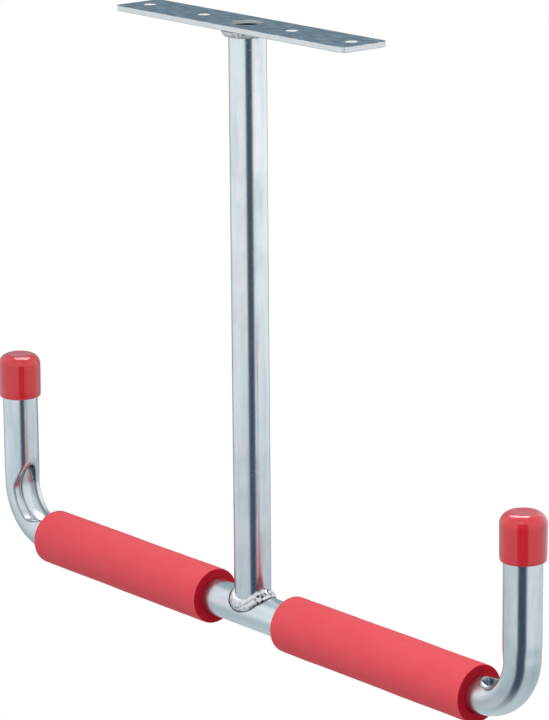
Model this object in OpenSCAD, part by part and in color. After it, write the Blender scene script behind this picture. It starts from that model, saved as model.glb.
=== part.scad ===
// Ceiling hook with two padded arms, in millimetres.
// A flat plate screws to the ceiling and a tube post hangs from it. A bent tube is welded across
// the post's foot and makes an upturned arm on each side. Foam sleeves cover the bar, and
// push-on caps close the arms. The bends are pressed cold, which leaves a dent inside each one.
// The origin is the centre of the plate's ceiling face. +Z is up, +X runs along plate and bar.

/* [Mounting plate] */
// Length of the plate, along X
plate_length = 185; // [150:5:240]
// Width of the plate, along Y
plate_width = 30; // [28:1:50]
// Thickness of the plate
plate_thickness = 3; // [2:0.5:6]
// Radius of the plate's corners, seen from above
plate_corner_r = 3; // [1:0.5:8]
// From the plate's end to the outer screw hole's centre
screw_end_margin = 11; // [6:0.5:20]
// Between the centres of the two inner screw holes
inner_screw_spacing = 71; // [50:1:100]
// Diameter of a screw hole
screw_hole_d = 6.5; // [4:0.5:9]

/* [Tube frame] */
// Outside diameter of the tube that the post and the arms are cut from
tube_d = 20; // [16:1:24]
// Wall of that tube
tube_wall = 1.5; // [1:0.25:2.5]
// From the ceiling face down to the bar's axis
drop = 320; // [150:10:600]
// Between the axes of the two arms
arm_spacing = 417; // [320:1:600]
// From the bar's axis up to the open end of an arm
arm_rise = 101; // [75:1:200]
// Radius of each bend, at the tube's axis
bend_r = 28; // [25:1:45]
// Depth of the dent that the press leaves inside a bend
dent_depth = 6; // [2:0.5:7]
// Radius of the dent's hollow, across the tube
dent_r = 9; // [7:0.5:9.5]

/* [Welds] */
// Leg of the weld round the post's head
plate_weld_leg = 4; // [2:0.5:8]
// Half the width of the bead round the post's foot
foot_bead_half_w = 3.5; // [2:0.25:5]
// How far that bead stands out of the corner it fills
foot_bead_proud = 2.5; // [1.5:0.25:4]

/* [Foam sleeves] */
// Thickness of the foam
foam_wall = 5.5; // [3:0.5:15]
// Bare bar between the post and a sleeve
sleeve_post_gap = 22; // [6:1:60]
// Bare bar between a sleeve and the bend
sleeve_bend_gap = 2.5; // [0.5:0.5:20]
// Rounding of a sleeve's cut edges
sleeve_edge_r = 1; // [0.5:0.25:2]

/* [End caps] */
// Wall of a cap's skirt
cap_wall = 2; // [1:0.25:4]
// Thickness of a cap's crown, over the tube's end
cap_crown = 2; // [1:0.25:5]
// Length of tube that a cap covers
cap_grip = 23; // [10:1:40]
// Rounding of a cap's crown
cap_crown_r = 4.4; // [2:0.2:5]
// Rounding of a cap's lip
cap_lip_r = 0.8; // [0.2:0.1:1]

/* [Hidden] */
$fn = 180;

// Gap round the tube inside a sleeve or a cap
slip_gap = 0.05;
// Overrun of every cut
cut = 1;
// Steps round the foot bead, sides of its section, and sides of the rounds that trim it
bead_steps = 48;
bead_sides = 10;
trim_sides = 360;
// Height of the foot bead's root beside the bar, as a share of the tube's radius
bead_low_share = 0.5;

left = -1;
right = 1;
tube_r = tube_d / 2;
bore_r = tube_r - tube_wall;
arm_x = arm_spacing / 2;
bend_x = arm_x - bend_r;
sleeve_in_x = tube_r + sleeve_post_gap;
sleeve_out_x = bend_x - sleeve_bend_gap;
dent_ring_r = bend_r - tube_r + dent_depth - dent_r;
slip_r = tube_r + slip_gap;
cap_r = slip_r + cap_wall;
cap_height = cap_grip + cap_crown;

steel = [0.74, 0.79, 0.82];
plate_steel = [0.53, 0.61, 0.67];
weld_grey = [0.66, 0.67, 0.66];
foam_red = [0.86, 0.31, 0.34];
cap_red = [0.73, 0.11, 0.17];

// A solid bar along X, of radius r, from x = a to x = b
module x_rod(r, a, b) {
    translate([a, 0, 0]) rotate([0, 90, 0]) cylinder(r = r, h = b - a);
}

// Puts its children at the bar's axis, on the right side as drawn or mirrored to the left
module on_bar(side) {
    translate([0, 0, -drop]) mirror([side == left ? 1 : 0, 0, 0]) children();
}

// A quarter ring in the plane of a bend, from the bar up to the arm
module bend_sweep(ring_r) {
    translate([bend_x, 0, bend_r]) rotate([90, 0, 0])
        rotate([0, 0, -90]) rotate_extrude(angle = 90) translate([ring_r, 0]) children();
}

// The bent tube's outer form or its bore, as a solid of radius r. The arms run on by extra.
module tube_run(r, extra) {
    translate([0, 0, -drop]) x_rod(r, -bend_x, bend_x);
    for (side = [left, right]) on_bar(side) {
        bend_sweep(bend_r) circle(r = r);
        translate([arm_x, 0, bend_r]) cylinder(r = r, h = arm_rise - bend_r + extra);
    }
}

// The hollow that the press leaves inside each bend, round at both ends
module dents(r) {
    for (side = [left, right]) on_bar(side) {
        bend_sweep(dent_ring_r) circle(r = r);
        translate([bend_x, 0, bend_r - dent_ring_r]) sphere(r = r);
        translate([bend_x + dent_ring_r, 0, bend_r]) sphere(r = r);
    }
}

module plate_outline() {
    square([plate_length - 2 * plate_corner_r, plate_width], center = true);
    square([plate_length, plate_width - 2 * plate_corner_r], center = true);
    for (x = [left, right], y = [left, right])
        translate([x * (plate_length / 2 - plate_corner_r), y * (plate_width / 2 - plate_corner_r)])
            circle(r = plate_corner_r);
}

module mounting_plate() {
    outer_x = plate_length / 2 - screw_end_margin;
    inner_x = inner_screw_spacing / 2;
    color(plate_steel) translate([0, 0, -plate_thickness]) difference() {
        linear_extrude(plate_thickness) plate_outline();
        for (x = [-outer_x, -inner_x, inner_x, outer_x])
            translate([x, 0, -cut]) cylinder(d = screw_hole_d, h = plate_thickness + 2 * cut);
        translate([0, 0, -cut]) cylinder(r = bore_r, h = plate_thickness + 2 * cut);
    }
}

module post_tube() {
    color(steel) translate([0, 0, -drop]) difference() {
        cylinder(r = tube_r, h = drop - plate_thickness);
        translate([0, 0, -cut]) cylinder(r = bore_r, h = drop - plate_thickness + 2 * cut);
        x_rod(tube_r, -tube_d, tube_d);
    }
}

module arm_tube() {
    color(steel) difference() {
        tube_run(tube_r, 0);
        difference() {
            tube_run(bore_r, cut);
            dents(dent_r + tube_wall);
        }
        dents(dent_r);
    }
}

module plate_weld() {
    color(weld_grey) translate([0, 0, -plate_thickness]) rotate_extrude() translate([tube_r, 0])
        intersection() {
            circle(r = plate_weld_leg);
            translate([0, -plate_weld_leg]) square(plate_weld_leg);
        }
}

// Root of the foot bead at angle t round the post, from the bar's axis
function bead_root(t) = let (low = tube_r * bead_low_share)
    [tube_r * cos(t), tube_r * sin(t), low + (tube_r - low) * pow(cos(t), 2)];
function unit(v) = v / norm(v);
// Outward from the corner between post and bar, square to the bead's run
function bead_out(t, run) = let (out = unit([cos(t), 2 * sin(t), abs(cos(t))])) unit(out - (out * run) * run);
function bead_section(t, step) = let (
        run = unit(bead_root(t + step / 2) - bead_root(t - step / 2)),
        out = bead_out(t, run),
        across = cross(run, out)
    ) [for (k = [0 : bead_sides - 1]) let (a = 360 * k / bead_sides)
        bead_root(t) + foot_bead_proud * cos(a) * out + foot_bead_half_w * sin(a) * across];

// The whole bead, as a closed ring of sections
module foot_bead() {
    step = 360 / bead_steps;
    points = [for (i = [0 : bead_steps - 1]) each bead_section(i * step, step)];
    faces = [for (i = [0 : bead_steps - 1], k = [0 : bead_sides - 1]) let (
            here = i * bead_sides,
            there = ((i + 1) % bead_steps) * bead_sides,
            next = (k + 1) % bead_sides
        ) each [[here + k, here + next, there + next], [here + k, there + next, there + k]]];
    polyhedron(points, faces);
}

module foot_weld() {
    color(weld_grey) translate([0, 0, -drop]) difference() {
        foot_bead();
        cylinder(r = tube_r, h = 2 * tube_d, $fn = trim_sides);
        x_rod(tube_r, -2 * tube_d, 2 * tube_d, $fn = trim_sides);
    }
}

module foam_sleeve(side) {
    length = sleeve_out_x - sleeve_in_x;
    color(foam_red) on_bar(side) translate([sleeve_in_x, 0, 0]) rotate([0, 90, 0])
        rotate_extrude() translate([slip_r, 0]) {
            wall = foam_wall - slip_gap;
            square([wall - sleeve_edge_r, length]);
            translate([0, sleeve_edge_r]) square([wall, length - 2 * sleeve_edge_r]);
            for (y = [sleeve_edge_r, length - sleeve_edge_r])
                translate([wall - sleeve_edge_r, y]) circle(r = sleeve_edge_r);
        }
}

// Half of a cap's outer profile, lip at y = 0
module cap_profile() {
    square([cap_r - cap_crown_r, cap_height]);
    translate([0, cap_lip_r]) square([cap_r, cap_height - cap_crown_r - cap_lip_r]);
    square([cap_r - cap_lip_r, cap_height - cap_crown_r]);
    translate([cap_r - cap_lip_r, cap_lip_r]) circle(r = cap_lip_r);
    translate([cap_r - cap_crown_r, cap_height - cap_crown_r]) circle(r = cap_crown_r);
}

module end_cap(side) {
    color(cap_red) on_bar(side) translate([arm_x, 0, arm_rise - cap_grip]) difference() {
        rotate_extrude() cap_profile();
        translate([0, 0, -cut]) cylinder(r = slip_r, h = cap_grip + cut);
    }
}

mounting_plate();
post_tube();
arm_tube();
plate_weld();
foot_weld();
foam_sleeve(left);  // foam_sleeve_left
foam_sleeve(right);  // foam_sleeve_right
end_cap(left);  // end_cap_left
end_cap(right);  // end_cap_right
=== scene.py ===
"""Looks of a two-arm ceiling hook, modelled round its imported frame.

The hook is a screw plate, a post and a bent tube, zinc plated after welding, with red foam
sleeves on the bar and red vinyl caps on the arms. Sizes are in metres in the frame's own axes.
"""

import logging
from collections.abc import Callable
from dataclasses import dataclass
from enum import Enum
from math import atan2, copysign, cos, exp, hypot, pi, radians, sin, sqrt
from typing import Any

import bpy
from bpy.types import Material, MeshEdge, NodeSocket, NodeTree, Object
from mathutils import Matrix, Vector, noise

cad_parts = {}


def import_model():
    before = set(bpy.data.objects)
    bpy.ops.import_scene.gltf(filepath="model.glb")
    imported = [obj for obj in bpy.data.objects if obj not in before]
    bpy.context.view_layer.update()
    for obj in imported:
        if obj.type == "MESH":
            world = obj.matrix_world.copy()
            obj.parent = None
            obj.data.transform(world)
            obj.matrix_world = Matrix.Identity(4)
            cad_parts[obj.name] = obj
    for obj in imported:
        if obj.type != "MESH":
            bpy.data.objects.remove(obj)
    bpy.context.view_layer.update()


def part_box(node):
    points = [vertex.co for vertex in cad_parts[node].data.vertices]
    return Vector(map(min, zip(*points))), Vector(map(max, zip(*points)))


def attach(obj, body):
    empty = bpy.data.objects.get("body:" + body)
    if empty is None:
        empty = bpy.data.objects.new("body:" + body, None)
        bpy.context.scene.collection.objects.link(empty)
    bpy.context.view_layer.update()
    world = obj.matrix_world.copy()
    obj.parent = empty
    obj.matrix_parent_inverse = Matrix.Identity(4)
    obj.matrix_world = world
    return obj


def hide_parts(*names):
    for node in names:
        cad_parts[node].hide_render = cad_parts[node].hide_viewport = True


LOG = logging.getLogger("ceiling_hook")
MM = 0.001
QUARTER_TURN = pi / 2
FULL_TURN = 2 * pi
SLIP_GAP = 0.05 * MM

Colour = tuple[float, float, float]
Rule = Callable[[Vector], Vector]


class Side(Enum):
    """The two arms of the hook, by the sign of their X."""

    LEFT = -1
    RIGHT = 1

    @property
    def word(self) -> str:
        """The side's name as pieces and bodies use it."""
        return self.name.lower()


def smooth(value: float, low: float, high: float) -> float:
    """Rise smoothly from 0 at low to 1 at high."""
    share = min(max((value - low) / (high - low), 0.0), 1.0)
    return share * share * (3 - 2 * share)


def soft_min(first: float, second: float, blend: float) -> float:
    """The smaller of two heights, rounded where they cross."""
    share = min(max(0.5 + 0.5 * (second - first) / blend, 0.0), 1.0)
    return second + (first - second) * share - blend * share * (1 - share)


def bell(value: float, middle: float, half: float) -> float:
    """A bell curve that is 1 at its middle."""
    return exp(-(((value - middle) / half) ** 2))


def lump(point: Vector, size: float, seed: float) -> float:
    """Noise of about -1 to 1 with lumps of the given size."""
    return noise.noise(point / size + Vector((seed, -seed, 2 * seed)))


# Shader maths


class Signal:
    """A shader socket that Python arithmetic works on."""

    def __init__(self, graph: "Graph", socket: NodeSocket | None) -> None:
        """Wrap a socket of the graph's tree."""
        self.graph = graph
        self.socket = socket

    def maths(self, operation: str, *others: Any) -> "Signal":
        """Add one Math node on this value and others."""
        return self.graph.node("ShaderNodeMath", {"operation": operation}, (self, *others))

    def __add__(self, other: Any) -> "Signal":
        """Sum."""
        return self.maths("ADD", other)

    __radd__ = __add__

    def __sub__(self, other: Any) -> "Signal":
        """Difference."""
        return self.maths("SUBTRACT", other)

    def __rsub__(self, other: float) -> "Signal":
        """Difference from a number."""
        return (self * -1) + other

    def __mul__(self, other: Any) -> "Signal":
        """Product."""
        return self.maths("MULTIPLY", other)

    __rmul__ = __mul__

    def __abs__(self) -> "Signal":
        """Size without the sign."""
        return self.maths("ABSOLUTE")

    def larger(self, other: Any) -> "Signal":
        """The larger of this value and another."""
        return self.maths("MAXIMUM", other)

    def band(self, middle: float, half: float) -> "Signal":
        """A soft band: 1 at the middle, 0 beyond the half width."""
        return abs(self - middle).ramp(half, 0.4 * half)

    def ramp(self, low: float, high: float) -> "Signal":
        """Rise smoothly from 0 at low to 1 at high, or fall if low is the larger."""
        ends = (low, high, 0.0, 1.0) if low < high else (high, low, 1.0, 0.0)
        return self.graph.node("ShaderNodeMapRange", {"interpolation_type": "SMOOTHSTEP"},
                               (self, *ends))

    def vector(self, operation: str, *others: Any, output: Any = 0) -> "Signal":
        """Add one Vector Math node on this vector and others."""
        settings = {"operation": operation}
        return self.graph.node("ShaderNodeVectorMath", settings, (self, *others), output)

    def stretched(self, *scale: float) -> "Signal":
        """This place multiplied axis by axis, to stretch a pattern."""
        return self.vector("MULTIPLY", scale)

    def along(self, direction: Vector) -> "Signal":
        """How far this place lies along a direction."""
        return self.vector("DOT_PRODUCT", tuple(direction), output="Value")

    def length(self) -> "Signal":
        """Distance of this place from the middle."""
        return self.vector("LENGTH", output="Value")

    def axis(self, name: str) -> "Signal":
        """One coordinate of this place."""
        return self.graph.node("ShaderNodeSeparateXYZ", {}, (self,), name)

    def grain(self, scale: float, detail: float = 2.0, roughness: float = 0.5) -> "Signal":
        """Noise about 0.5 at this place, with a pattern of 1 / scale metres."""
        inputs = {"Vector": self, "Scale": scale, "Detail": detail, "Roughness": roughness}
        return self.graph.node("ShaderNodeTexNoise", {}, inputs)

    def cells(self, scale: float) -> "Signal":
        """Distance from the nearest of many points, 1 / scale metres apart."""
        return self.graph.node("ShaderNodeTexVoronoi", {}, {"Vector": self, "Scale": scale})

    def bump(self, distance: float) -> "Signal":
        """Turn this height of 0 to 1 into a surface relief of a distance in metres."""
        inputs = {"Height": self, "Distance": distance, "Strength": 1.0}
        return self.graph.node("ShaderNodeBump", {}, inputs)


class Graph:
    """A node tree that is written from code."""

    def __init__(self, tree: NodeTree) -> None:
        """Start the tree empty."""
        tree.nodes.clear()
        self.tree = tree

    def node(self, kind: str, settings: dict[str, Any] | None = None,
             inputs: dict[Any, Any] | tuple[Any, ...] = (), output: Any = 0) -> Signal:
        """Add a node.

        Args:
            kind: the node's type.
            settings: its properties, set before its sockets.
            inputs: values or signals, by socket name or index or in the sockets' order.
            output: the output socket to return.

        Returns:
            The chosen output, wrapped.
        """
        made = self.tree.nodes.new(kind)
        for name, value in (settings or {}).items():
            setattr(made, name, value)
        for name, value in inputs.items() if isinstance(inputs, dict) else enumerate(inputs):
            if isinstance(value, Signal):
                self.tree.links.new(value.socket, made.inputs[name])
            else:
                made.inputs[name].default_value = value
        return Signal(self, made.outputs[output] if made.outputs else None)

    def place(self) -> Signal:
        """The point's place in the object's own axes."""
        return self.node("ShaderNodeTexCoord", output="Object")

    def attribute(self, name: str) -> Signal:
        """A vector stored on the mesh."""
        return self.node("ShaderNodeAttribute", {"attribute_name": name}, output="Vector")

    def ray(self, name: str) -> Signal:
        """What Light Path says of the ray."""
        return self.node("ShaderNodeLightPath", output=name)

    @staticmethod
    def colour(value: Any) -> Any:
        """A colour with its alpha, or a signal as it is."""
        return value if isinstance(value, Signal) else (*value, 1.0)

    def mix(self, share: Any, first: Any, second: Any) -> Signal:
        """Blend two colours, from the first at 0 to the second at 1."""
        sides = {6: self.colour(first), 7: self.colour(second)}
        return self.node("ShaderNodeMix", {"data_type": "RGBA"}, {0: share, **sides}, 2)

    def layered(self, base: Any, *coats: tuple[Any, Any]) -> Signal:
        """Lay coats over a base colour, each given by its share and its colour."""
        for share, colour in coats:
            base = self.mix(share, base, colour)
        return base

    def glow(self, colour: Any, strength: Any = 1.0) -> Signal:
        """An even glow of a colour, whatever light falls on it."""
        inputs = {"Color": self.colour(colour), "Strength": strength}
        return self.node("ShaderNodeEmission", {}, inputs)

    def surface(self, shader: Signal) -> None:
        """Link a shader to the material's output."""
        self.node("ShaderNodeOutputMaterial", {}, {"Surface": shader})


def blank(name: str) -> tuple[Material, Graph]:
    """Make a material whose nodes are still to be written."""
    made = bpy.data.materials.new(name)
    made.use_nodes = True
    return made, Graph(made.node_tree)


@dataclass(frozen=True)
class Finish:
    """A surface finish that is made as one material."""

    name: str

    def material(self) -> Material:
        """Make the material, with its shader linked to its output."""
        made, graph = blank(self.name)
        graph.surface(graph.node("ShaderNodeBsdfPrincipled", {}, self.shader_inputs(graph)))
        return made

    def shader_inputs(self, graph: Graph) -> dict[str, Any]:
        """Values and signals for the shader's sockets."""
        raise NotImplementedError


@dataclass(frozen=True)
class ZincTube(Finish):
    """Bright zinc over drawn tube: fine lines along the tube and faint pink and teal tints."""

    name: str = "zinc_tube"
    base: Colour = (0.73, 0.785, 0.815)
    grey: Colour = (0.56, 0.62, 0.66)
    pink: Colour = (0.79, 0.74, 0.79)
    teal: Colour = (0.60, 0.78, 0.78)
    pit: Colour = (0.42, 0.46, 0.50)
    line: Colour = (0.46, 0.52, 0.57)
    # painted shade along the dent's creases
    painted_light: Colour = (0.12, 0.15, 0.17)
    raw: Colour = (0.11, 0.115, 0.12)
    relief: float = 0.02 * MM

    def shader_inputs(self, graph: Graph) -> dict[str, Any]:
        """Drawing lines follow the stored place on the straight tube. Bores are raw and dull.
        The dent's creases get painted shade.
        """
        place = graph.attribute("straight")
        bore = graph.attribute("state").axis("X")
        rub_and_shade = graph.attribute("press_rub_and_shade")
        rubbed, crease_shade = rub_and_shade.axis("X"), rub_and_shade.axis("Y")
        lines = place.stretched(1, 1, 0.02).grain(1400, 3, 0.6)
        bands = place.stretched(1, 1, 0.12).grain(160)
        cloud = place.grain(55, 3)
        tints = place.stretched(1, 1, 0.35).grain(110, 3)
        pits = place.grain(900).ramp(0.70, 0.78)
        rough = 0.155 + bands * 0.10 + cloud * 0.06 + pits * 0.15 + bore * 0.35 + rubbed * 0.06
        height = lines * 0.35 + bands * 0.5 + place.grain(420) * 0.15
        return {
            "Base Color": graph.layered(
                self.base,
                (bands.ramp(0.40, 0.66) * 0.55 + cloud.ramp(0.42, 0.68) * 0.40, self.grey),
                (tints.ramp(0.52, 0.70) * 0.55, self.pink),
                (tints.ramp(0.46, 0.32) * 0.55, self.teal),
                (pits * 0.35, self.pit),
                (lines.ramp(0.58, 0.78) * 0.30, self.line),
                # painted shade in the dent's creases
                (crease_shade, self.painted_light),
                (bore, self.raw)),
            "Metallic": 1.0,
            "Roughness": rough,
            "Normal": height.bump(self.relief),
        }


@dataclass(frozen=True)
class ZincPlate(Finish):
    """Satin zinc over hot-rolled flat bar, with mottling along its length and painted highlights
    on its edges.
    """

    name: str = "zinc_plate"
    half_thickness: float = 1.5 * MM
    drain_r: float = 8.7 * MM
    screw_zone: tuple[float, float] = (20 * MM, 88 * MM)
    screw_r: float = 3.4 * MM
    base: Colour = (0.285, 0.405, 0.475)
    dark: Colour = (0.150, 0.240, 0.305)
    cloudy: Colour = (0.26, 0.37, 0.43)
    patch: Colour = (0.055, 0.125, 0.185)
    # painted highlight on the plate's side faces
    painted_light: Colour = (0.66, 0.69, 0.71)
    painted_light_grey: Colour = (0.52, 0.55, 0.57)
    # painted highlight on the screw holes' walls
    hole_wall_light: Colour = (0.93, 0.94, 0.95)
    # painted shadow low in the drain hole
    drain_shadow: Colour = (0.012, 0.020, 0.028)
    relief: float = 0.03 * MM

    def shader_inputs(self, graph: Graph) -> dict[str, Any]:
        """Mottling on the flat faces, duller metal with a painted highlight on the edges and in
        the screw holes, and a painted shadow low in the drain hole.
        """
        place = graph.place()
        x, y, z = (place.axis(name) for name in "XYZ")
        mottle = place.stretched(0.45, 1, 1).grain(750, 4, 0.7)
        rolling = place.stretched(0.03, 1, 0.3).grain(900)
        patches = place.stretched(0.5, 1, 1).grain(230, 3)
        cloud = place.grain(60)
        deep = abs(z + self.half_thickness)
        edge = deep.ramp(self.half_thickness - 0.08 * MM, self.half_thickness - 0.33 * MM)
        near, far = self.screw_zone
        # where the painted highlight on the screw holes' walls lies
        screw_hole_light = abs(x).ramp(near, near + 1 * MM) * abs(x).ramp(far + 1 * MM, far) * edge
        screw_hole_light = screw_hole_light * abs(y).ramp(self.screw_r + 0.3 * MM, self.screw_r)
        drain = place.stretched(1, 1, 0).length().ramp(self.drain_r + 0.1 * MM, self.drain_r)
        return {
            "Base Color": graph.layered(
                self.base,
                (mottle.ramp(0.36, 0.64) * 0.85, self.dark),
                (cloud.ramp(0.45, 0.70) * 0.3, self.cloudy),
                (patches.ramp(0.40, 0.60) * 0.80, self.patch),
                # painted highlight on the side faces
                (edge, graph.mix(mottle.ramp(0.40, 0.70) * 0.35, self.painted_light, self.painted_light_grey)),
                (screw_hole_light, self.hole_wall_light),
                # painted shadow in the drain hole's lowest part
                (z.ramp(-1.75 * MM, -2.05 * MM) * drain, self.drain_shadow)),
            "Metallic": 1 - edge * 0.5,
            "Roughness": 0.18 + mottle * 0.10 + edge * 0.26,
            "Normal": (mottle * 0.6 + rolling * 0.4).bump(self.relief),
        }


@dataclass(frozen=True)
class WeldMetal(Finish):
    """Zinc over a weld bead: bright crowns, dull hollows, and painted shade at the toes, along a
    seam and in a few pits.

    The mesh stores a vector "toes": the heights over the two parts that the bead joins, in
    millimetres, and how far the point lies in the bead's crater, from 0 to 1.
    """

    name: str = "weld_metal"
    bright: Colour = (0.74, 0.77, 0.80)
    dull: Colour = (0.50, 0.515, 0.53)
    # painted shade at the toes, along the seam and in the crater's pits
    dark: Colour = (0.07, 0.08, 0.09)
    rough: float = 0.30
    relief: float = 0.06 * MM
    # where the painted seam shade runs between the bead's ridges
    seam_shade: float = -0.6

    def shader_inputs(self, graph: Graph) -> dict[str, Any]:
        """Scale at the size of weld spatter, a painted shade line at each toe and along the
        seam, and painted shade in the crater's pits.
        """
        place, toes = graph.place(), graph.attribute("toes")
        over_first, over_second, crater = (toes.axis(name) for name in "XYZ")
        scale, speckle = place.grain(700, 4, 0.6), place.grain(2200)
        # painted shade lines at the toes and along the seam
        first_toe_shade = over_first.band(0.30, 0.46) * 0.95
        second_toe_shade = over_second.band(0.30, 0.30) * 0.50
        seam_shade = (over_second - over_first).band(self.seam_shade, 0.38) * 0.40
        # painted shade in the crater's pits
        pits = place.cells(520).ramp(0.50, 0.38) * crater.ramp(0.30, 0.60)
        return {
            "Base Color": graph.layered(
                self.bright,
                (scale.ramp(0.46, 0.68), self.dull),
                (first_toe_shade.larger(second_toe_shade).larger(seam_shade).larger(pits), self.dark)),
            "Metallic": 0.92,
            "Roughness": self.rough + scale.ramp(0.35, 0.70) * 0.16,
            "Normal": (scale * 0.6 + speckle * 0.2 - pits).bump(self.relief),
        }


@dataclass(frozen=True)
class FoamSkin(Finish):
    """Closed-cell foam: a matt skin outside and darker cut cells on the end faces."""

    name: str = "foam_skin"
    ends: tuple[float, float] = (32 * MM, 178 * MM)
    skin: Colour = (0.74, 0.072, 0.092)
    pale: Colour = (0.76, 0.090, 0.110)
    deep: Colour = (0.60, 0.045, 0.065)
    cut: Colour = (0.47, 0.003, 0.020)
    pore: Colour = (0.36, 0.002, 0.013)
    relief: float = 0.06 * MM

    def shader_inputs(self, graph: Graph) -> dict[str, Any]:
        """The cut colour lies within a hair of either end face."""
        place = graph.place()
        reach = abs(place.axis("X"))
        low, high = self.ends
        near_face = reach.ramp(low + 0.30 * MM, low + 0.15 * MM)
        faces = near_face.larger(reach.ramp(high - 0.30 * MM, high - 0.15 * MM))
        cells, pores, cloud = place.grain(2600, 2, 0.6), place.cells(1500), place.grain(70, 3)
        return {
            "Base Color": graph.layered(
                self.skin,
                (cloud.ramp(0.35, 0.70) * 0.5, self.pale),
                (cells.ramp(0.50, 0.75) * 0.22, self.deep),
                (faces, graph.mix(pores.ramp(0.1, 0.5) * 0.5, self.cut, self.pore))),
            "Roughness": 0.62 + faces * 0.3,
            "Specular IOR Level": 0.16,
            "Normal": (cells * 0.5 + pores * 0.3).bump(self.relief),
        }


@dataclass(frozen=True)
class Vinyl(Finish):
    """Glossy dipped vinyl, nearly smooth."""

    name: str = "vinyl"
    base: Colour = (0.58, 0.011, 0.022)
    pale: Colour = (0.63, 0.018, 0.030)
    relief: float = 0.007 * MM

    def shader_inputs(self, graph: Graph) -> dict[str, Any]:
        """Faint flow marks and a trace of orange peel."""
        place = graph.place()
        flow, peel = place.stretched(1, 1, 0.4).grain(160), place.grain(700)
        return {
            "Base Color": graph.mix(flow.ramp(0.4, 0.7) * 0.35, self.base, self.pale),
            "Roughness": 0.17 + flow * 0.06,
            "Specular IOR Level": 0.40,
            "Coat Weight": 0.85,
            "Coat Roughness": 0.10,
            "Normal": (flow * 0.7 + peel * 0.1).bump(self.relief),
        }


# Modelling by hand


def choose(piece: Object) -> None:
    """Select one object alone and make it active."""
    bpy.ops.object.select_all(action="DESELECT")
    piece.select_set(True)
    bpy.context.view_layer.objects.active = piece


def primitive(add: Callable[..., set[str]], name: str, stretch: Colour = (1, 1, 1),
              **settings: Any) -> Object:
    """Add a primitive with a name, its place kept in its mesh.

    Args:
        add: the operator that adds it.
        name: the object's new name.
        stretch: its scale along its own axes.
        settings: the operator's settings.

    Returns:
        The new object, selected alone.
    """
    bpy.ops.object.select_all(action="DESELECT")
    add(**settings)
    piece = bpy.context.active_object
    piece.name = piece.data.name = name
    piece.scale = stretch
    bpy.ops.object.transform_apply(location=True, rotation=True, scale=True)
    return piece


def pick(piece: Object, mode: str, test: Callable[[Any], bool]) -> None:
    """Enter edit mode with only the elements chosen that pass a test.

    Args:
        piece: the mesh object.
        mode: VERT, EDGE or FACE.
        test: says of a vertex, edge or polygon whether it is chosen.
    """
    choose(piece)
    bpy.ops.object.mode_set(mode="EDIT")
    bpy.ops.mesh.select_mode(type=mode)
    bpy.ops.mesh.select_all(action="DESELECT")
    leave()
    mesh = piece.data
    elements = {"VERT": mesh.vertices, "EDGE": mesh.edges, "FACE": mesh.polygons}[mode]
    for element in elements:
        element.select = test(element)
    bpy.ops.object.mode_set(mode="EDIT")


def whole(piece: Object) -> None:
    """Enter edit mode with the whole mesh chosen."""
    choose(piece)
    bpy.ops.object.mode_set(mode="EDIT")
    bpy.ops.mesh.select_mode(type="VERT")
    bpy.ops.mesh.select_all(action="SELECT")


def leave() -> None:
    """Go back to object mode."""
    bpy.ops.object.mode_set(mode="OBJECT")


def span(piece: Object, edge: MeshEdge) -> Vector:
    """How far an edge of a piece runs along each axis."""
    first, second = (piece.data.vertices[index].co for index in edge.vertices)
    return Vector([abs(step) for step in second - first])


def open_out() -> None:
    """Keep only the edges of the mesh in edit mode, all chosen."""
    bpy.ops.mesh.select_all(action="SELECT")
    bpy.ops.mesh.delete(type="ONLY_FACE")
    bpy.ops.mesh.select_all(action="SELECT")


def run_on(steps: int, move: Vector) -> None:
    """Extrude the chosen ring in equal steps over a whole move."""
    for _ in range(steps):
        bpy.ops.mesh.extrude_region_move(TRANSFORM_OT_translate={"value": tuple(move / steps)})


def close_up(piece: Object, gap: float = 1e-6) -> None:
    """Merge points closer than a gap and turn every face outwards.

    Args:
        piece: the mesh object.
        gap: the distance under which points are merged.
    """
    whole(piece)
    bpy.ops.mesh.remove_doubles(threshold=gap)
    bpy.ops.mesh.normals_make_consistent(inside=False)
    leave()


def modify(piece: Object, kind: str, **settings: Any) -> None:
    """Add a modifier and apply it at once.

    Args:
        piece: the object that it works on.
        kind: the modifier's type.
        settings: its settings.
    """
    choose(piece)
    modifier = piece.modifiers.new(kind.lower(), kind)
    for name, value in settings.items():
        setattr(modifier, name, value)
    bpy.ops.object.modifier_apply(modifier=modifier.name)


def reshape(piece: Object, rule: Rule) -> None:
    """Move every point of a mesh by a rule."""
    for vertex in piece.data.vertices:
        vertex.co = rule(vertex.co)
    piece.data.update()


def shade(piece: Object, angle: float = 35.0) -> None:
    """Shade smooth except across edges sharper than an angle in degrees."""
    choose(piece)
    bpy.ops.object.shade_smooth_by_angle(angle=radians(angle))


def store(piece: Object, name: str, rule: Rule) -> None:
    """Store a vector at each point, which the piece's finish reads."""
    layer = piece.data.attributes.new(name, "FLOAT_VECTOR", "POINT")
    for vertex, item in zip(piece.data.vertices, layer.data):
        item.vector = rule(vertex.co)


def dress(made: Object, finish: Finish, node: str,
          body: str = "steel_frame") -> Object:
    """Give a modelled mesh its finish and its place in the frame.

    Args:
        made: the modelled mesh.
        finish: the finish of its surface.
        node: the frame's node that it replaces.
        body: the body that it rides on.

    Returns:
        The finished piece.
    """
    made.data.materials.clear()
    made.data.materials.append(finish.material())
    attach(made, body)
    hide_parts(node)
    return made


@dataclass
class Frame:
    """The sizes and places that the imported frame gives."""

    tube_r: float
    plate_low: Vector
    plate_high: Vector
    bar_z: float
    arm_x: float
    arm_top: float

    @classmethod
    def read(cls) -> "Frame":
        """Measure the frame's nodes."""
        post_low, post_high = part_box("post_tube")
        arm_low, arm_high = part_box("arm_tube")
        tube_r = (post_high.x - post_low.x) / 2
        return cls(tube_r, *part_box("mounting_plate"), arm_low.z + tube_r, arm_high.x - tube_r,
                   arm_high.z)


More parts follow.
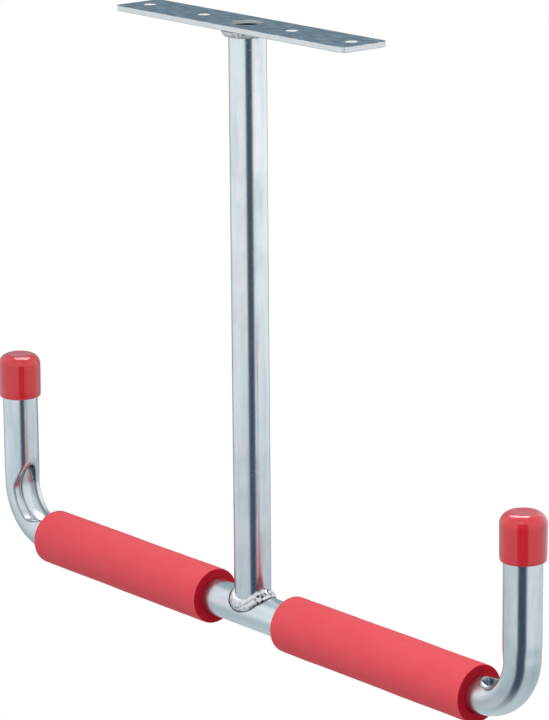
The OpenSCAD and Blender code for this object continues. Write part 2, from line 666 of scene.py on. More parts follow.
@dataclass
class MountingPlate:
    """Flat bar with four screw holes and a drain hole into the post."""

    frame: Frame
    corner_r: float = 3 * MM
    corner_steps: int = 8
    edge_r: float = 0.35 * MM
    edge_steps: int = 3
    screw_r: float = 3.25 * MM
    screw_xs: tuple[float, ...] = (-81.5 * MM, -35.5 * MM, 35.5 * MM, 81.5 * MM)
    drain_r: float = 8.5 * MM
    hole_sides: int = 72

    def build(self) -> Object:
        """Cut the plate from a block, punch it and roll its edges."""
        low, high = self.frame.plate_low, self.frame.plate_high
        plate = primitive(bpy.ops.mesh.primitive_cube_add, "screw_plate", size=1.0,
                          location=tuple((low + high) / 2), stretch=tuple(high - low))
        pick(plate, "EDGE", lambda edge: span(plate, edge).z > 1 * MM)
        bpy.ops.mesh.bevel(offset=self.corner_r, segments=self.corner_steps, affect="EDGES")
        leave()
        for x in self.screw_xs:
            self.punch(plate, x, self.screw_r)
        self.punch(plate, 0.0, self.drain_r)
        modify(plate, "BEVEL", width=self.edge_r, segments=self.edge_steps,
               limit_method="ANGLE", angle_limit=radians(50))
        close_up(plate)
        shade(plate, 40)
        modify(plate, "WEIGHTED_NORMAL", weight=100, keep_sharp=True)
        finish = ZincPlate(half_thickness=(high.z - low.z) / 2)
        return dress(plate, finish, "mounting_plate")

    def punch(self, plate: Object, x: float, radius: float) -> None:
        """Cut one round hole through the plate.

        Args:
            plate: the plate.
            x: where the hole is along it.
            radius: the hole's radius.
        """
        low, high = self.frame.plate_low.z, self.frame.plate_high.z
        cutter = primitive(bpy.ops.mesh.primitive_cylinder_add, "punch", radius=radius,
                           vertices=self.hole_sides, depth=3 * (high - low),
                           location=(x, 0, (low + high) / 2))
        modify(plate, "BOOLEAN", object=cutter, operation="DIFFERENCE", solver="EXACT")
        bpy.data.objects.remove(cutter)


@dataclass
class Post:
    """Straight tube from the plate to the bar, coped at its foot."""

    frame: Frame
    wall: float = 1.5 * MM
    sides: int = 128
    steps: int = 60

    def build(self) -> Object:
        """Draw the tube down from the plate and cope its foot."""
        frame = self.frame
        top, foot = frame.plate_low.z, frame.bar_z + frame.tube_r
        post = primitive(bpy.ops.mesh.primitive_circle_add, "post", vertices=self.sides,
                         radius=frame.tube_r, fill_type="NOTHING", location=(0, 0, top))
        whole(post)
        run_on(self.steps, Vector((0, 0, foot - top)))
        leave()
        close_up(post)
        modify(post, "SOLIDIFY", thickness=self.wall, offset=-1.0, use_rim=True)
        reshape(post, self.cope)
        store(post, "straight", lambda point: point)
        store(post, "state", self.state)
        shade(post)
        return dress(post, ZincTube(), "post_tube")

    def state(self, point: Vector) -> Vector:
        """One for the bore and nought for the outside."""
        bore = hypot(point.x, point.y) < self.frame.tube_r - self.wall / 2
        return Vector((float(bore), 0, 0))

    def cope(self, point: Vector) -> Vector:
        """Let the foot follow the bar.

        Args:
            point: a point of the straight tube.

        Returns:
            Its place on the coped tube.
        """
        frame = self.frame
        if point.z > frame.bar_z + frame.tube_r + 1e-5:
            return point
        rise = sqrt(max(frame.tube_r**2 - point.y**2, 0.0))
        return Vector((point.x, point.y, frame.bar_z + rise))


@dataclass
class Section:
    """Where a point of the bent tube lies: along its run, round its section and past its bend.

    Past the bend's ends, over_bar and over_arm are above zero. Inside the bend both are below.
    """

    run: float
    across: float
    inward: float
    over_bar: float
    over_arm: float

    @property
    def past(self) -> float:
        """How far the point lies past the nearer end of the bend."""
        return max(self.over_bar, self.over_arm)


@dataclass
class ArmTube:
    """The bent tube: the bar and both arms, with the press's dent inside each bend."""

    frame: Frame
    bend_r: float = 28 * MM
    wall: float = 1.5 * MM
    sides: int = 144
    arm_steps: int = 10
    dent_steps: int = 32
    bend_steps: int = 72
    lead_steps: int = 6
    bar_steps: int = 30
    dent_reach: float = 17.0 * MM
    arm_lead: float = 4.5 * MM
    bar_lead: float = 12.0 * MM
    flat_bar_lead: float = 20.0 * MM
    flat_half: float = 9.1 * MM
    flat_low: float = 4.1 * MM
    flat_slope: float = 0.30
    flat_end: float = 3.2 * MM
    flat_flare: float = 5.4 * MM
    flat_reach: float = 17.0 * MM
    trough_half: float = 5.2 * MM
    trough_floor: float = 3.3 * MM
    trough_bow: float = 1.6 * MM
    trough_wall: float = 30.0 * MM
    trough_on_arm: float = 15.0 * MM
    trough_on_bar: float = 10.0 * MM
    wall_share: float = 0.85
    lip_share: float = 0.10
    lip_rise: float = 0.55 * MM
    lip_blend: float = 0.6 * MM
    corner_blend: float = 0.8 * MM
    outer_flat: float = 0.5 * MM
    outer_reach: float = 8 * MM
    # painted shade along the dent's outer edge and along its trough's fold
    edge_half: float = 0.7 * MM
    edge_shade: float = 0.75
    edge_fade: tuple[float, float] = (3 * MM, 11 * MM)
    fold_at: float = 0.93
    fold_half: float = 0.12
    fold_shade: float = 0.95

    @property
    def bend(self) -> tuple[float, float]:
        """X and Z of the right bend's centre."""
        return self.frame.arm_x - self.bend_r, self.frame.bar_z + self.bend_r

    def build(self) -> Object:
        """Sweep the tube from end to end, press its dents and give it a wall."""
        frame = self.frame
        bend_x, bend_z = self.bend
        plain = frame.arm_top - bend_z - self.dent_reach
        up, along = Vector((0, 0, 1)), Vector((1, 0, 0))
        tube = primitive(bpy.ops.mesh.primitive_circle_add, "arm_bar", vertices=self.sides,
                         radius=frame.tube_r, fill_type="NOTHING",
                         location=(-frame.arm_x, 0, frame.arm_top))
        whole(tube)
        run_on(self.arm_steps, up * -plain)
        run_on(self.dent_steps, up * -self.dent_reach)
        self.bend_up(-bend_x, bend_z)
        run_on(self.lead_steps, along * self.dent_reach)
        run_on(self.bar_steps, along * (2 * (bend_x - self.dent_reach)))
        run_on(self.lead_steps, along * self.dent_reach)
        self.bend_up(bend_x, bend_z)
        run_on(self.dent_steps, up * self.dent_reach)
        run_on(self.arm_steps, up * plain)
        leave()
        close_up(tube)
        store(tube, "press_rub_and_shade", self.rub_and_shade)
        reshape(tube, self.press)
        modify(tube, "SOLIDIFY", thickness=self.wall, offset=-1.0, use_rim=True)
        store(tube, "straight", self.straighten)
        store(tube, "state", self.state)
        shade(tube, 50)
        return dress(tube, ZincTube(), "arm_tube")

    def bend_up(self, x: float, z: float) -> None:
        """Spin the chosen ring a quarter turn about a bend's centre."""
        bpy.ops.mesh.spin(steps=self.bend_steps, angle=QUARTER_TURN, center=(x, 0, z),
                          axis=(0, 1, 0))

    def locate(self, point: Vector) -> Section:
        """Find where a point lies on the tube.

        Args:
            point: a point of the tube.

        Returns:
            Its run from the tube's middle, its offsets across and towards the bend's centre, and
            how far it lies past either end of the bend.
        """
        bend_x, bend_z = self.bend
        x = abs(point.x)
        quarter = self.bend_r * QUARTER_TURN
        if point.z > bend_z:
            run, inward = bend_x + quarter + point.z - bend_z, self.frame.arm_x - x
        elif x < bend_x:
            run, inward = x, point.z - self.frame.bar_z
        else:
            run = bend_x + self.bend_r * atan2(x - bend_x, bend_z - point.z)
            inward = self.bend_r - hypot(x - bend_x, point.z - bend_z)
        return Section(run, point.y, inward, bend_x - run, run - bend_x - quarter)

    def inward_of(self, point: Vector) -> Vector:
        """Find the way towards the centre of a point's bend.

        Args:
            point: a point of the tube.

        Returns:
            The direction from the tube's axis to the bend's centre.
        """
        bend_x, bend_z = self.bend
        side = copysign(1.0, point.x)
        if point.z > bend_z:
            return Vector((-side, 0, 0))
        if abs(point.x) < bend_x:
            return Vector((0, 0, 1))
        return Vector((side * bend_x - point.x, 0, bend_z - point.z)).normalized()

    def trough_out(self, where: Section) -> float:
        """How far out of the trough a place lies: 0 in its middle and 1 at its rim."""
        arm = max(where.over_arm + self.arm_lead, 0.0) / self.trough_on_arm
        bar = max(where.over_bar + self.bar_lead, 0.0) / self.trough_on_bar
        return hypot(where.across / self.trough_half, max(arm, bar))

    def dent_height(self, where: Section) -> float:
        """Height of the dent: flattened shoulders with a lipped trough between them.

        Args:
            where: the place on the tube.

        Returns:
            The height over the tube's axis, which is above the tube's surface outside the dent.
        """
        side = abs(where.across)
        past = max(where.over_arm + self.arm_lead, where.over_bar + self.flat_bar_lead, 0.0)
        flare = self.flat_end + self.flat_flare * (side / self.flat_half) ** 2
        flat = self.flat_low + self.flat_slope * (self.flat_half - side)
        flat += flare * (past / self.flat_reach) ** 2
        out = self.trough_out(where)
        lip = self.lip_rise * bell(out, 1.0, self.lip_share)
        trough = self.trough_floor + self.trough_bow * out**2
        trough += self.trough_wall * max(out - self.wall_share, 0.0)
        return soft_min(flat + lip, trough, self.lip_blend)

    def press(self, point: Vector) -> Vector:
        """Press the dents and flatten the outside of the bends a little.

        Args:
            point: a point of the plain tube.

        Returns:
            Its place on the pressed tube.
        """
        where = self.locate(point)
        if where.past > self.dent_reach:
            return point.copy()
        if where.inward < 0:
            share = smooth(-where.inward, 0, self.frame.tube_r)
            share *= 1 - smooth(where.past, 0, self.outer_reach)
            return point + self.inward_of(point) * (self.outer_flat * share)
        height = soft_min(where.inward, self.dent_height(where), self.corner_blend)
        return point + self.inward_of(point) * (height - where.inward)

    def rub_and_shade(self, point: Vector) -> Vector:
        """Tell what the press leaves at a point: a rubbed skin, and painted shade along the
        dent's creases.

        Args:
            point: a point of the plain tube.

        Returns:
            The share of rubbed skin, the share of painted crease shade, and nought.
        """
        where = self.locate(point)
        if where.inward < 0 or where.past > self.dent_reach:
            return Vector((0, 0, 0))
        sunk = where.inward - self.dent_height(where)
        # painted shade where the flat meets the round tube, and at the trough's fold
        edge = bell(sunk, 0.0, self.edge_half) * self.edge_shade
        edge *= 1 - smooth(where.over_arm + self.arm_lead, *self.edge_fade)
        fold = bell(self.trough_out(where), self.fold_at, self.fold_half) * self.fold_shade
        return Vector((smooth(sunk, 0.0, 1 * MM), max(edge, fold if sunk > 0 else 0.0), 0))

    def state(self, point: Vector) -> Vector:
        """One where an arm's bore is in sight and nought elsewhere."""
        where = self.locate(point)
        deep = hypot(where.across, where.inward) < self.frame.tube_r - self.wall / 2
        return Vector((float(deep and where.past > self.dent_reach), 0, 0))

    def straighten(self, point: Vector) -> Vector:
        """Place of a point on the unbent tube."""
        where = self.locate(point)
        return Vector((where.across, where.inward, copysign(where.run, point.x)))


@dataclass
class HeadWeld:
    """The weld round the post's head, under the plate."""

    frame: Frame
    leg: float = 4 * MM
    round_sides: int = 48
    sides: int = 256
    skin: float = 0.8 * MM
    ripples: int = 26
    ripple: float = 0.16 * MM
    swell: float = 0.35 * MM
    grain: float = 0.14 * MM

    def build(self) -> Object:
        """Turn a quarter-round fillet about the post and give it its lumps."""
        frame = self.frame
        z = frame.plate_low.z
        weld = primitive(bpy.ops.mesh.primitive_circle_add, "head_weld", radius=self.leg,
                         vertices=self.round_sides, fill_type="NGON",
                         location=(frame.tube_r, 0, z), rotation=(QUARTER_TURN, 0, 0))
        whole(weld)
        for plane in ((-1, 0, 0), (0, 0, 1)):
            bpy.ops.mesh.select_all(action="SELECT")
            bpy.ops.mesh.bisect(plane_co=(frame.tube_r, 0, z), plane_no=plane,
                                clear_outer=True, use_fill=True)
        open_out()
        bpy.ops.mesh.spin(steps=self.sides, angle=FULL_TURN, center=(0, 0, z), axis=(0, 0, 1))
        leave()
        close_up(weld, 1e-5)
        reshape(weld, self.lumps)
        # the finish paints shade at the weld's toes from these heights
        store(weld, "toes", self.toes)
        shade(weld, 70)
        finish = WeldMetal("head_weld_metal", bright=(0.70, 0.715, 0.72),
                           dull=(0.50, 0.50, 0.485), rough=0.38, relief=0.12 * MM)
        return dress(weld, finish, "plate_weld")

    def toes(self, point: Vector) -> Vector:
        """Heights over the plate and over the post, in millimetres."""
        out = hypot(point.x, point.y) - self.frame.tube_r
        return Vector((self.frame.plate_low.z - point.z, out, 0)) / MM

    def lumps(self, point: Vector) -> Vector:
        """Ripple the free surface and leave what touches plate and post where it is.

        Args:
            point: a point of the plain fillet.

        Returns:
            Its place on the lumpy weld.
        """
        out = hypot(point.x, point.y) - self.frame.tube_r
        down = self.frame.plate_low.z - point.z
        share = smooth(min(out, down), 0.0, self.skin)
        away = Vector((point.x, point.y, 0)).normalized() - Vector((0, 0, 1))
        turn = atan2(point.y, point.x)
        ripple = self.ripple * sin(self.ripples * turn + 2 * lump(point, 9 * MM, 3.1))
        swell = self.swell * lump(point, 3.5 * MM, 1.7) + self.grain * lump(point, 1.2 * MM, 5.3)
        return point + away * (share * (ripple + swell) / sqrt(2))


@dataclass
class FootWeld:
    """The weld bead round the post's foot, on the bar, with the crater where it was closed."""

    frame: Frame
    half_width: float = 3.5 * MM
    proud: float = 2.5 * MM
    low_share: float = 0.5
    steps: int = 320
    sides: int = 56
    ripples: int = 38
    ripple: float = 0.10 * MM
    swell: float = 0.28 * MM
    ridge_spin: float = 0.62
    ridge_half: float = 0.30
    ridge_rise: float = 0.26 * MM
    crater_turn: float = radians(-10)
    crater_half: float = 0.44
    crater_width: float = 2.4 * MM
    crater_proud: float = 1.3 * MM
    fuller_turn: float = radians(-100)
    fuller_half: float = 0.6
    fuller: float = 0.6 * MM
    # the under_ settings place painted shade along the bead's lower front flank
    under_turn: float = radians(-125)
    under_reach: float = radians(48)
    under_fade: float = 0.3
    under_spin: float = radians(-3)
    under_lean: float = 0.9
    under_soft: float = radians(16)
    under_height: float = 0.30

    def build(self) -> Object:
        """Bend a ring onto the joint of post and bar."""
        weld = primitive(bpy.ops.mesh.primitive_torus_add, "foot_weld_bead",
                         major_segments=self.steps, minor_segments=self.sides,
                         major_radius=1.0, minor_radius=0.25)
        # the finish paints shade at the bead's toes from these heights
        store(weld, "toes", self.toes)
        reshape(weld, self.lay)
        close_up(weld)
        shade(weld, 70)
        return dress(weld, WeldMetal(), "foot_weld")

    @staticmethod
    def angles(point: Vector) -> tuple[float, float]:
        """Angle round the post and angle round the bead of a point of the unit ring."""
        return atan2(point.y, point.x), atan2(point.z, hypot(point.x, point.y) - 1.0)

    def toes(self, point: Vector) -> Vector:
        """Measure a point of the bead against the parts that it joins.

        The height over the bar is made small along the bead's lower front flank too, so that it
        gets the same painted shade as a toe.

        Args:
            point: a point of the unit ring.

        Returns:
            Heights over the bar, lowered where painted shade lies on the flank, and over the
            post, in millimetres, and the crater's share.
        """
        frame = self.frame
        turn, spin = self.angles(point)
        place = self.lay(point)
        over_bar = (hypot(place.y, place.z - frame.bar_z) - frame.tube_r) / MM
        over_post = (hypot(place.x, place.y) - frame.tube_r) / MM
        off = turn - self.under_turn
        under = self.under_spin + self.under_lean * off
        share = smooth(spin, under - self.under_soft, under)
        share *= 1 - smooth(abs(off), self.under_reach, self.under_reach + self.under_fade)
        # lower the height so that the finish paints shade here
        over_bar += (self.under_height - over_bar) * share
        return Vector((over_bar, over_post, self.in_crater(turn)))

    def in_crater(self, turn: float) -> float:
        """How far an angle round the post lies in the crater, from 0 to 1."""
        return bell(turn, self.crater_turn, self.crater_half)

    def root(self, turn: float) -> Vector:
        """Middle of the bead's root at an angle round the post."""
        tube_r = self.frame.tube_r
        low = tube_r * self.low_share
        height = low + (tube_r - low) * cos(turn) ** 2
        return Vector((tube_r * cos(turn), tube_r * sin(turn), self.frame.bar_z + height))

    def lay(self, point: Vector) -> Vector:
        """Move a point of the unit ring onto the bead.

        Args:
            point: a point of the unit ring.

        Returns:
            Its place on the bead.
        """
        turn, spin = self.angles(point)
        step = 0.001
        run = (self.root(turn + step) - self.root(turn - step)).normalized()
        out = Vector((cos(turn), 2 * sin(turn), abs(cos(turn)))).normalized()
        out = (out - run * out.dot(run)).normalized()
        across = run.cross(out)
        crater = self.in_crater(turn)
        proud = (self.proud + self.crater_proud * crater) * cos(spin)
        aside = (self.half_width + self.crater_width * crater) * sin(spin)
        place = self.root(turn) + out * proud + across * aside
        rings = 0.5 + 0.5 * cos(self.ripples * turn + 1.5 * cos(spin))
        swell = self.fuller * bell(turn, self.fuller_turn, self.fuller_half)
        swell += self.ridge_rise * bell(abs(spin), self.ridge_spin, self.ridge_half)
        swell += self.swell * lump(place, 4.5 * MM, 2.3) - self.ripple * rings
        rough = 0.75 * MM * lump(place, 1.9 * MM, 4.4) + 0.25 * MM * lump(place, 0.8 * MM, 9.2)
        return place + (out * cos(spin) + across * sin(spin)) * (swell + crater * rough)


@dataclass
class FoamSleeve:
    """A foam sleeve pushed over the bar, cut square at both ends."""

    frame: Frame
    side: Side
    edge_r: float = 0.9 * MM
    edge_steps: int = 6
    sides: int = 144
    rings: int = 72
    drift: float = 0.16 * MM
    dimple: float = 0.05 * MM
    sink: float = 0.12 * MM

    def build(self) -> Object:
        """Turn the sleeve from a rounded strip and soften its skin."""
        node = f"foam_sleeve_{self.side.word}"
        low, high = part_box(node)
        outer, inner = (high.z - low.z) / 2, self.frame.tube_r + SLIP_GAP
        middle = ((low.x + high.x) / 2, 0, self.frame.bar_z + (inner + outer) / 2)
        foam = primitive(bpy.ops.mesh.primitive_plane_add, f"{self.side.word}_foam", size=1.0,
                         location=middle, rotation=(QUARTER_TURN, 0, 0),
                         stretch=(high.x - low.x, outer - inner, 1))
        pick(foam, "VERT", lambda vertex: vertex.co.z > middle[2])
        bpy.ops.mesh.bevel(offset=self.edge_r, segments=self.edge_steps, affect="VERTICES")
        open_out()
        leave()
        pick(foam, "EDGE", lambda edge: span(foam, edge).x > 20 * MM)
        bpy.ops.mesh.subdivide(number_cuts=self.rings)
        leave()
        whole(foam)
        bpy.ops.mesh.spin(steps=self.sides, angle=FULL_TURN, center=(0, 0, self.frame.bar_z),
                          axis=(1, 0, 0))
        leave()
        close_up(foam, 1e-5)
        reshape(foam, self.soften)
        shade(foam, 50)
        near, far = sorted((abs(low.x), abs(high.x)))
        piece = dress(foam, FoamSkin(ends=(near, far)), node, f"{self.side.word}_sleeve")
        return piece

    def soften(self, point: Vector) -> Vector:
        """Let the outside wander by a tenth of a millimetre or two, as moulded foam does.

        Args:
            point: a point of the plain sleeve.

        Returns:
            Its place on the soft one.
        """
        away = point - Vector((point.x, 0, self.frame.bar_z))
        share = smooth(away.length, self.frame.tube_r + 1 * MM, self.frame.tube_r + 4 * MM)
        drift = self.drift * lump(point, 30 * MM, 1.3 + self.side.value)
        drift += self.dimple * lump(point, 8 * MM, 6.1) - self.sink
        return point + away.normalized() * (share * drift)


@dataclass
class EndCap:
    """A dipped vinyl cap, a little fuller below its crown and drawn in at its lip."""

    frame: Frame
    side: Side
    grip: float = 23 * MM
    crown_r: float = 6.0 * MM
    crown_steps: int = 16
    crown_rings: int = 5
    lip_r: float = 0.8 * MM
    lip_steps: int = 5
    ridge_drop: float = 4.6 * MM
    sides: int = 144
    skirt_rings: int = 14
    ridge_rings: int = 6
    lip_draw: float = 0.20 * MM
    skirt_draw: float = 0.10 * MM
    ridge_draw: float = 0.10 * MM
    dish: float = 0.25 * MM

    @property
    def x(self) -> float:
        """X of the cap's axis."""
        return self.side.value * self.frame.arm_x

    def build(self) -> Object:
        """Shape the cap from a solid round and hollow it."""
        node = f"end_cap_{self.side.word}"
        low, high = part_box(node)
        radius = (high.x - low.x) / 2
        name = f"{self.side.word}_cap"
        cap = primitive(bpy.ops.mesh.primitive_cylinder_add, name, vertices=self.sides,
                        radius=radius, depth=high.z - low.z, end_fill_type="NGON",
                        location=tuple((low + high) / 2))
        pick(cap, "FACE", lambda face: face.normal.z < -0.5)
        bpy.ops.mesh.inset(thickness=radius - self.frame.tube_r - SLIP_GAP)
        bpy.ops.mesh.extrude_region_move(TRANSFORM_OT_translate={"value": (0, 0, self.grip)})
        leave()
        self.round_rim(cap, high.z, self.crown_r, self.crown_steps, radius)
        self.round_rim(cap, low.z, self.lip_r, self.lip_steps, radius)
        ridge = high.z - self.ridge_drop
        self.ring_up(cap, low.z + self.lip_r, high.z - self.crown_r, self.skirt_rings)
        self.ring_up(cap, ridge - 0.5 * MM, ridge + 0.5 * MM, self.ridge_rings)
        self.crown(cap, high.z, radius - self.crown_r)
        close_up(cap)
        reshape(cap, lambda point: self.swell(point, low.z, high.z, radius))
        shade(cap, 50)
        return dress(cap, Vinyl(), node, name)

    def round_rim(self, cap: Object, z: float, size: float, steps: int, radius: float) -> None:
        """Bevel an outer edge of the cap.

        Args:
            cap: the cap.
            z: the edge's height.
            size: the bevel's radius.
            steps: how many faces it has.
            radius: the cap's own radius.
        """
        def at_rim(edge: MeshEdge) -> bool:
            """Whether both ends of an edge lie on the rim."""
            ends = (cap.data.vertices[index].co for index in edge.vertices)
            return all(abs(end.z - z) < 1e-6 and hypot(end.x - self.x, end.y) > radius - 1e-5
                       for end in ends)

        pick(cap, "EDGE", at_rim)
        bpy.ops.mesh.bevel(offset=size, segments=steps, affect="EDGES")
        leave()

    @staticmethod
    def ring_up(cap: Object, low: float, high: float, count: int) -> None:
        """Add level rings between two heights.

        Args:
            cap: the cap.
            low: the lower height.
            high: the upper height.
            count: how many bands the rings make.
        """
        for index in range(1, count):
            whole(cap)
            height = low + (high - low) * index / count
            bpy.ops.mesh.bisect(plane_co=(0, 0, height), plane_no=(0, 0, 1))
            leave()

    def crown(self, cap: Object, top: float, flat_r: float) -> None:
        """Add rings to the flat of the crown, so that it can be dished.

        Args:
            cap: the cap.
            top: the crown's height.
            flat_r: the radius of its flat.
        """
        pick(cap, "FACE", lambda face: face.normal.z > 0.99 and face.center.z > top - 1e-5)
        for _ in range(self.crown_rings):
            bpy.ops.mesh.inset(thickness=flat_r / (self.crown_rings + 1))
        leave()

    def swell(self, point: Vector, low: float, high: float, radius: float) -> Vector:
        """Draw in the lip, leave a faint shoulder below the crown and dish the top a little.

        Args:
            point: a point of the plain cap.
            low: height of the lip.
            high: height of the crown.
            radius: the cap's radius.

        Returns:
            Its place on the finished cap.
        """
        away = Vector((point.x - self.x, point.y, 0))
        up, top = point.z - low, high - low
        if away.length < self.frame.tube_r + 0.4 * MM and up < self.grip + 0.1 * MM:
            return point.copy()
        ridge = top - self.ridge_drop
        draw = self.lip_draw * (1 - smooth(up, 0.0, 4 * MM))
        draw += self.skirt_draw * (1 - smooth(up, 3 * MM, ridge))
        draw += self.ridge_draw * smooth(up, ridge - 0.3 * MM, ridge + 0.3 * MM)
        dish = self.dish * (1 - smooth(away.length, 0.0, 0.65 * radius))
        dish *= smooth(up, top - self.crown_r, top)
        share = smooth(away.length, 0.5 * radius, 0.9 * radius)
        return point - away.normalized() * (draw * share) - Vector((0, 0, dish))


@dataclass
class Studio:
    """Camera, world, floor and the soft white wall that the metal reflects."""

    frame: Frame
    azimuth: float = radians(49.95)
    elevation: float = radians(14.551)
    roll: float = radians(-0.461)
    place: tuple[float, float, float] = (1.436205, -1.190747, 0.303500)
    lens: float = 181.78
    sensor: float = 36.0
    floor_z: float = -0.62
    floor_size: float = 30.0
    floor_matt: Colour = (0.62, 0.62, 0.62)
    floor_near: Colour = (0.66, 0.73, 0.74)
    floor_far: Colour = (0.54, 0.61, 0.64)
    wall_r: float = 0.65
    wall_top: float = 0.45
    wall_white: Colour = (0.97, 0.98, 0.99)
    wall_right: Colour = (1.12, 1.12, 1.12)
    wall_low: Colour = (0.68, 0.73, 0.76)
    far_from: float = radians(128)
    far_to: float = radians(160)
    far_high: Colour = (0.34, 0.42, 0.48)
    far_low: Colour = (0.30, 0.38, 0.43)
    gap_turn: float = radians(5.5)
    gap_half: float = radians(20)
    gap_edge: float = radians(2)
    gap_top: float = 0.12
    gap_colour: Colour = (0.036, 0.066, 0.108)
    panel_rise: float = radians(115)
    panel_far: float = 0.80
    panel_size: tuple[float, float] = (0.633, 0.413)
    panel_glow: float = 6.5
    panel_dim: float = 0.80
    panel_reach: tuple[float, float] = (0.70, 0.75)
    lamp_turn: float = radians(-8)
    lamp_rise: float = radians(46)
    lamp_far: float = 0.95
    lamp_aim_z: float = -0.2
    lamp_size: tuple[float, float] = (0.5, 0.4)
    lamp_power: float = 3.6

    @staticmethod
    def direction(azimuth: float, elevation: float) -> Vector:
        """Direction at an angle round from -Y and an angle above level."""
        level = cos(elevation)
        return Vector((sin(azimuth) * level, -cos(azimuth) * level, sin(elevation)))

    @staticmethod
    def put(name: str, data: Any) -> Object:
        """Put a camera or a lamp into the scene."""
        made = bpy.data.objects.new(name, data)
        bpy.context.scene.collection.objects.link(made)
        return made

    def camera(self) -> None:
        """Set the camera as the photo was taken."""
        data = bpy.data.cameras.new("camera")
        data.lens, data.sensor_width, data.sensor_fit = self.lens, self.sensor, "AUTO"
        data.clip_start, data.clip_end = 0.1, 50.0
        back = self.direction(self.azimuth, self.elevation)
        right = (-back).cross(Vector((0, 0, 1))).normalized()
        up = right.cross(-back)
        turned = cos(self.roll) * right + sin(self.roll) * up
        upright = cos(self.roll) * up - sin(self.roll) * right
        axes = Matrix((turned, upright, back)).transposed()
        camera = self.put("camera", data)
        camera.matrix_world = Matrix.Translation(self.place) @ axes.to_4x4()
        bpy.context.scene.camera = camera

    def world(self) -> None:
        """White for the camera, soft light from above for everything else."""
        world = bpy.data.worlds.new("studio")
        bpy.context.scene.world = world
        world.use_nodes = True
        graph = Graph(world.node_tree)
        camera = graph.ray("Is Camera Ray")
        height = graph.node("ShaderNodeTexCoord", output="Generated").axis("Z")
        level = height.ramp(-0.6, 0.8) * 0.24 + 0.62
        strength = camera + (1 - camera) * level
        inputs = {"Color": (1, 1, 1, 1), "Strength": strength}
        light = graph.node("ShaderNodeBackground", {}, inputs)
        graph.node("ShaderNodeOutputWorld", {}, {"Surface": light})

    def off_gap(self, place: Signal) -> Signal:
        """Angle of a place from the middle of the dark gap behind the camera, from above."""
        turn = self.azimuth + self.gap_turn
        ahead = place.along(self.direction(turn, 0))
        return abs(place.along(self.direction(turn + QUARTER_TURN, 0)).maths("ARCTAN2", ahead))

    def in_gap(self, place: Signal) -> Signal:
        """Share of the dark gap at a place, from 0 to 1."""
        low, high = self.gap_half - self.gap_edge, self.gap_half + self.gap_edge
        return self.off_gap(place).ramp(high, low)

    def floor(self) -> None:
        """Lay a pale floor, white to the camera and grey-blue in reflections."""
        floor = primitive(bpy.ops.mesh.primitive_plane_add, "floor", size=self.floor_size,
                          location=(0, 0, self.floor_z))
        material, graph = blank("pale_floor")
        glossy = graph.ray("Is Glossy Ray")
        level = graph.place().stretched(1, 1, 0)
        out = level.length()
        grey = graph.layered(
            self.floor_near,
            (out.ramp(0.05, 0.50), self.floor_far),
            (self.in_gap(level) * out.ramp(0.05, 0.45), self.gap_colour))
        glow = graph.glow(graph.mix(glossy, (1, 1, 1), grey))
        matt = graph.node("ShaderNodeBsdfDiffuse", {}, {"Color": (*self.floor_matt, 1.0)})
        direct = graph.ray("Is Camera Ray").larger(glossy)
        graph.surface(graph.node("ShaderNodeMixShader", {}, (direct, matt, glow)))
        floor.data.materials.append(material)

    @staticmethod
    def reflected(piece: Object, material: Material) -> None:
        """Let only reflections see a glowing piece of the studio."""
        piece.visible_camera = piece.visible_diffuse = False
        piece.visible_shadow = piece.visible_transmission = False
        piece.data.materials.append(material)

    def wall(self) -> None:
        """Raise a round white wall, dark behind the camera and dim far behind the hook."""
        height = self.wall_top - self.floor_z
        wall = primitive(bpy.ops.mesh.primitive_cylinder_add, "soft_wall", vertices=128,
                         radius=self.wall_r, depth=height, end_fill_type="NOTHING",
                         location=(0, 0, self.floor_z + height / 2))
        material, graph = blank("soft_wall")
        place = graph.place()
        z = place.axis("Z")
        right = place.along(self.direction(self.azimuth + QUARTER_TURN, 0)).ramp(0.15, 0.5)
        dark = self.in_gap(place) * z.ramp(self.gap_top + 0.04, self.gap_top - 0.04)
        colour = graph.layered(
            self.wall_white,
            (right * z.ramp(-0.36, -0.20), self.wall_right),
            (z.ramp(-0.24, -0.58), self.wall_low),
            (self.off_gap(place).ramp(self.far_from, self.far_to),
             graph.mix(z.ramp(-0.18, -0.52), self.far_high, self.far_low)),
            (z.ramp(-0.42, -0.61), self.floor_far),
            (dark, self.gap_colour))
        graph.surface(graph.glow(colour))
        self.reflected(wall, material)

    def panel(self) -> None:
        """Hang a bright panel overhead, a little behind the hook, for reflections alone.

        It is dim for what is near it, so that the plate's flat top doesn't mirror it.
        """
        toward = self.direction(self.azimuth, self.panel_rise)
        centre = Vector((0, 0, self.frame.bar_z / 2)) + toward * self.panel_far
        panel = primitive(bpy.ops.mesh.primitive_plane_add, "bright_panel", size=1.0,
                          rotation=tuple(toward.to_track_quat("Z", "Y").to_euler()),
                          location=tuple(centre), stretch=(*self.panel_size, 1.0))
        material, graph = blank("bright_panel")
        away = graph.ray("Ray Length").ramp(*self.panel_reach)
        strength = away * (self.panel_glow - self.panel_dim) + self.panel_dim
        graph.surface(graph.glow((1, 1, 1), strength))
        self.reflected(panel, material)

    def lamp(self) -> None:
        """Hang a soft lamp to the left of the camera, which lights the matt surfaces."""
        data = bpy.data.lights.new("soft_lamp", "AREA")
        data.shape = "RECTANGLE"
        data.size, data.size_y = self.lamp_size
        data.energy = self.lamp_power
        toward = self.direction(self.azimuth + self.lamp_turn, self.lamp_rise)
        lamp = self.put("soft_lamp", data)
        lamp.location = Vector((0, 0, self.lamp_aim_z)) + toward * self.lamp_far
        lamp.rotation_mode = "QUATERNION"
        lamp.rotation_quaternion = toward.to_track_quat("Z", "Y")
        lamp.visible_camera = lamp.visible_glossy = False

    def build(self) -> None:
        """Set up the whole studio."""
        for part in (self.camera, self.world, self.floor, self.wall, self.panel, self.lamp):
            part()
        bpy.context.scene.view_settings.view_transform = "Standard"


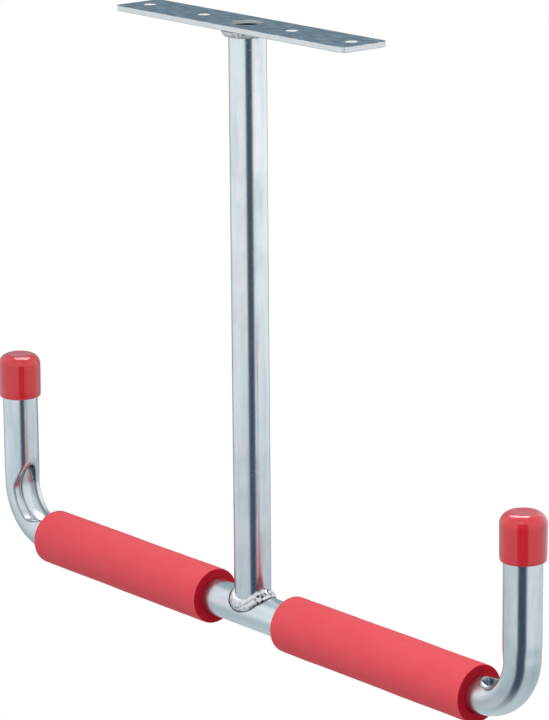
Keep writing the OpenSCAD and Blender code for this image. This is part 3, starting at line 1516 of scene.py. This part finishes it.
def main() -> None:
    """Build the hook round its frame, piece by piece, and report each one."""
    logging.basicConfig(level=logging.INFO, format="%(message)s")
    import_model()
    frame = Frame.read()
    Studio(frame).build()
    makers: list[Any] = [MountingPlate(frame), Post(frame), ArmTube(frame), HeadWeld(frame),
                         FootWeld(frame)]
    for side in Side:
        makers += [FoamSleeve(frame, side), EndCap(frame, side)]
    for maker in makers:
        piece = maker.build()
        LOG.info("%s: %d faces", piece.name, len(piece.data.polygons))


if __name__ == "__main__":
    main()
